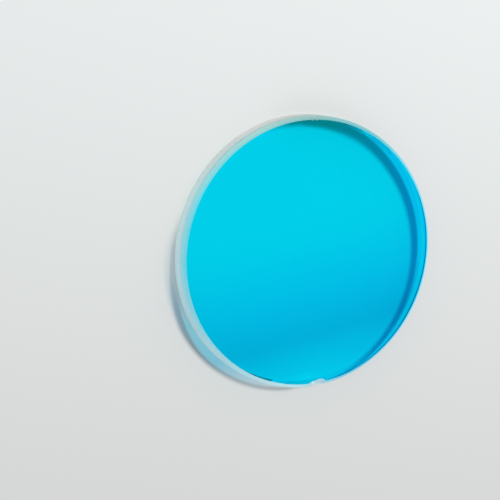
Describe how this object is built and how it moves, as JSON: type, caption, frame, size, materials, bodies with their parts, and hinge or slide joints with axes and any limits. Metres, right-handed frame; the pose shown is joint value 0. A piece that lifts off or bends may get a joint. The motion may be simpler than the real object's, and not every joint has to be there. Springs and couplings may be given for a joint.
{
  "type": "optical filter",
  "caption": "Round flat glass disc with a cyan coated front face, ground edge and narrow bevels, which passes only part of the light's colours.",
  "frame": {"origin": "centre of the uncoated back face, which the disc lies on", "axes": "+Z out of the coated front face, along the disc's axis; +X to the right and +Y upwards as the picture shows the front face"},
  "size_m": [0.0254, 0.0254, 0.0023],
  "materials": {
    "coated_glass": "polished faces, cyan coating on the front, fine-ground edge and bevels"
  },
  "bodies": {
    "root": {"filter_disc": "coated_glass"}
  },
  "joints": []
}
